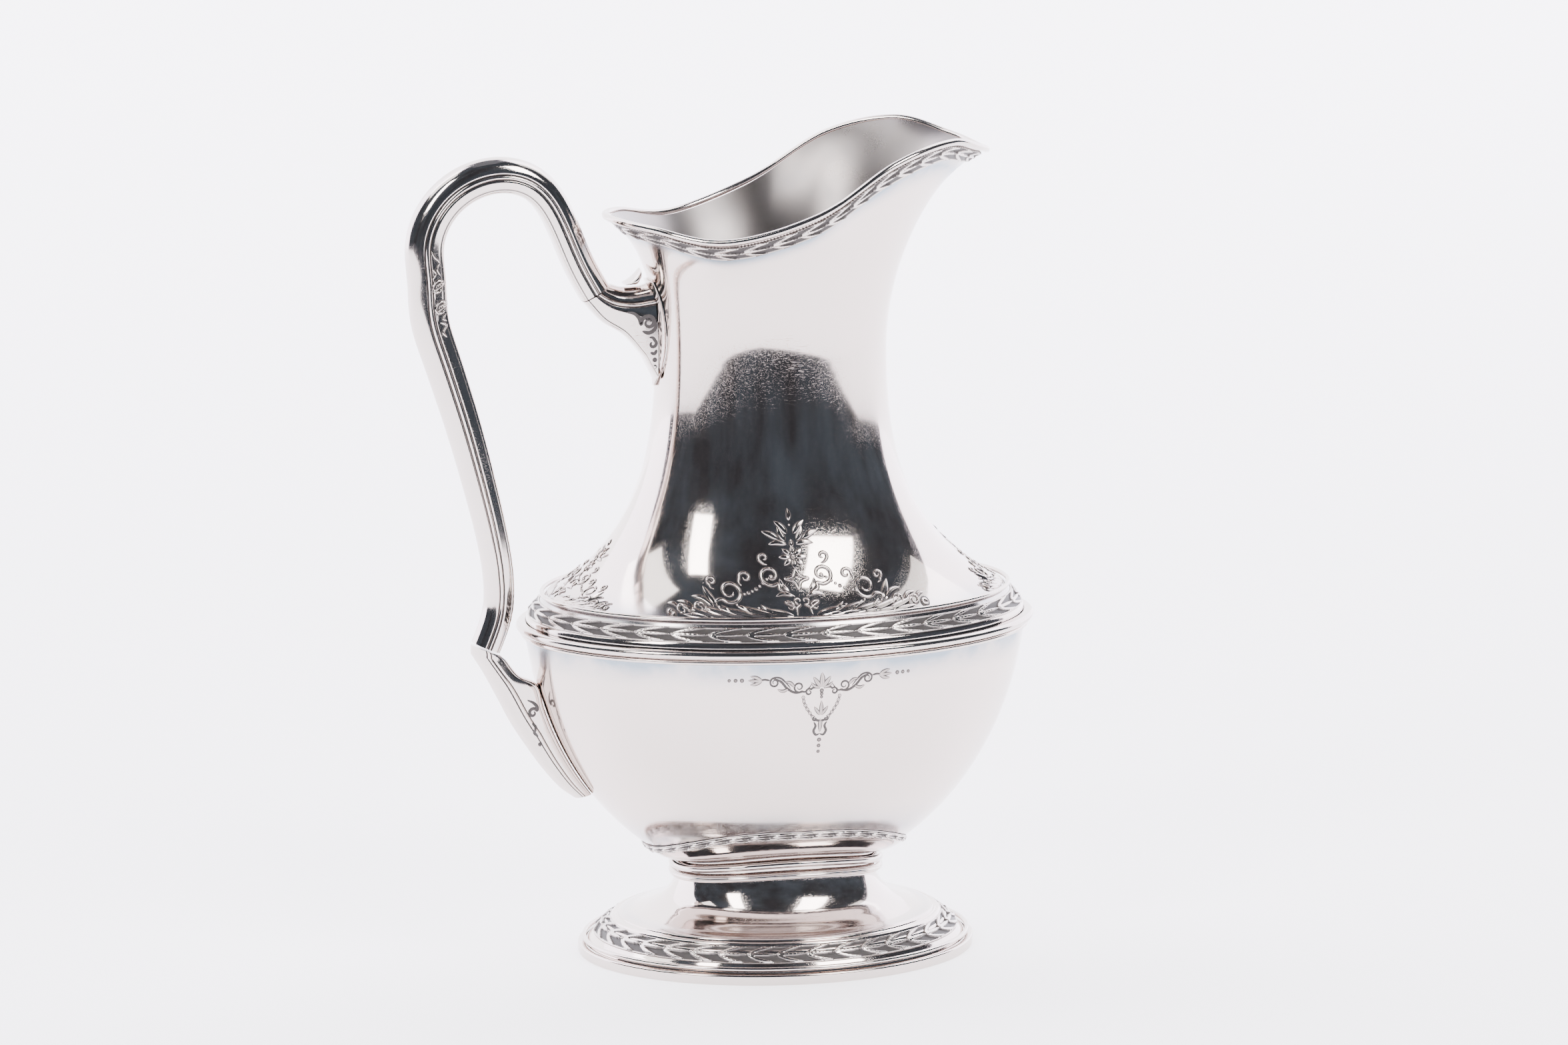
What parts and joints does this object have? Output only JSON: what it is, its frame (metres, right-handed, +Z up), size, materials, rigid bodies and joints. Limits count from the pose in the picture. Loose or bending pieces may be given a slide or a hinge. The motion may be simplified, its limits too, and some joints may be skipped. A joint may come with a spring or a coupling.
{
  "type": "footed water pitcher",
  "caption": "Footed silver water pitcher with an oval bowl, tall neck, raised lip, looped handle and leaf borders at lip, shoulder, cup and foot.",
  "frame": {"origin": "middle of the whole object's box, on the surface that the foot rests on", "axes": "+Z up; +X towards the spout, with the handle at -X; +Y to the left of the spout, seen from behind the handle"},
  "size_m": [0.1949, 0.116, 0.2522],
  "materials": {
    "polished_silver": "polished, with fine cleaning scratches and faint tarnish",
    "silver_mouldings": "polished",
    "oxidised_borders": "die-struck relief with dark recesses",
    "handle_silver": "polished, dark in its grooves"
  },
  "bodies": {
    "root": {"bowl_shell": "polished_silver", "neck_shell": "polished_silver", "foot_cup": "polished_silver", "foot_trumpet": "polished_silver", "rim_wire": "silver_mouldings", "shoulder_bead_wire": "silver_mouldings", "shoulder_moulding": "silver_mouldings", "seam_wire": "silver_mouldings", "collar_upper_ring": "silver_mouldings", "collar_lower_ring": "silver_mouldings", "foot_bead_wire": "silver_mouldings", "foot_rim_ring": "silver_mouldings", "rim_leaf_border": "oxidised_borders", "shoulder_leaf_border": "oxidised_borders", "cup_leaf_border": "oxidised_borders", "foot_leaf_border": "oxidised_borders", "handle_left_half": "handle_silver", "handle_right_half": "handle_silver", "upper_handle_root": "handle_silver", "upper_handle_plate": "handle_silver", "handle_thumb_spur": "handle_silver", "lower_handle_root": "handle_silver"}
  },
  "joints": []
}
